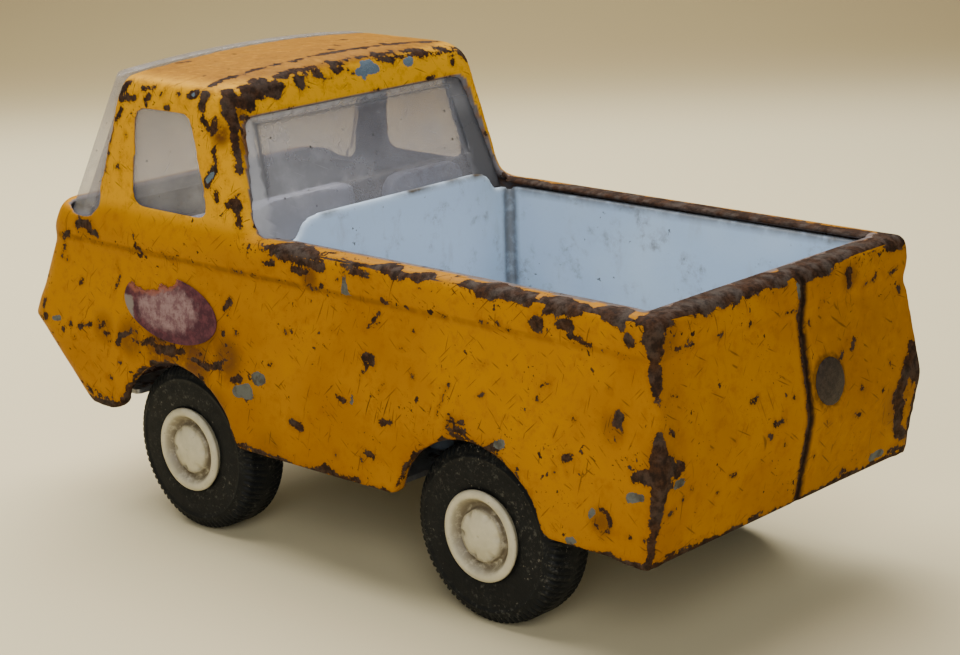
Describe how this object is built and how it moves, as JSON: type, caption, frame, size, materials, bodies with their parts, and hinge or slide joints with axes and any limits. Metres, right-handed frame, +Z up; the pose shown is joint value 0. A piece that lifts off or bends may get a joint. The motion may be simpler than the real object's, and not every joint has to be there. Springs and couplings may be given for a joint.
{
  "type": "toy pickup truck",
  "caption": "Small pressed-steel toy pickup truck with a fixed cargo bed, plastic bed liner, smoky clear cab glazing and free-rolling wheels.",
  "frame": {"origin": "on the ground below the middle of the truck, at the bottom centre of its bounding box", "axes": "+X forward to the nose, +Y to the truck's left, +Z up"},
  "size_m": [0.1402, 0.064, 0.0762],
  "materials": {
    "body_paint": "worn gloss enamel with rust",
    "rivet_steel": "rusted",
    "cream_plastic": "aged satin",
    "white_plastic": "satin, dusty",
    "smoky_clear": "hazy",
    "base_steel": "dull",
    "axle_steel": "dull",
    "tyre_rubber": "dusty",
    "decal_film": "faded"
  },
  "bodies": {
    "truck": {"body_shell": "body_paint", "tail_rivet": "rivet_steel", "front_grille": "cream_plastic", "bed_liner": "white_plastic", "liner_caps": "white_plastic", "seat_moulding": "white_plastic", "window_moulding": "smoky_clear", "base_plate": "base_steel", "door_decal_left": "decal_film", "door_decal_right": "decal_film"},
    "front_wheelset": {"axle_front": "axle_steel", "tyre_front_left": "tyre_rubber", "hub_front_left": "cream_plastic", "tyre_front_right": "tyre_rubber", "hub_front_right": "cream_plastic"},
    "rear_wheelset": {"axle_rear": "axle_steel", "tyre_rear_left": "tyre_rubber", "hub_rear_left": "cream_plastic", "tyre_rear_right": "tyre_rubber", "hub_rear_right": "cream_plastic"}
  },
  "joints": [
    {"name": "front_axle_spin", "type": "hinge", "parent": "truck", "child": "front_wheelset", "pos_m": [0.0309, 0, 0.014], "axis": [0, 1, 0], "continuous": true},
    {"name": "rear_axle_spin", "type": "hinge", "parent": "truck", "child": "rear_wheelset", "pos_m": [-0.034, 0, 0.014], "axis": [0, 1, 0], "continuous": true}
  ]
}
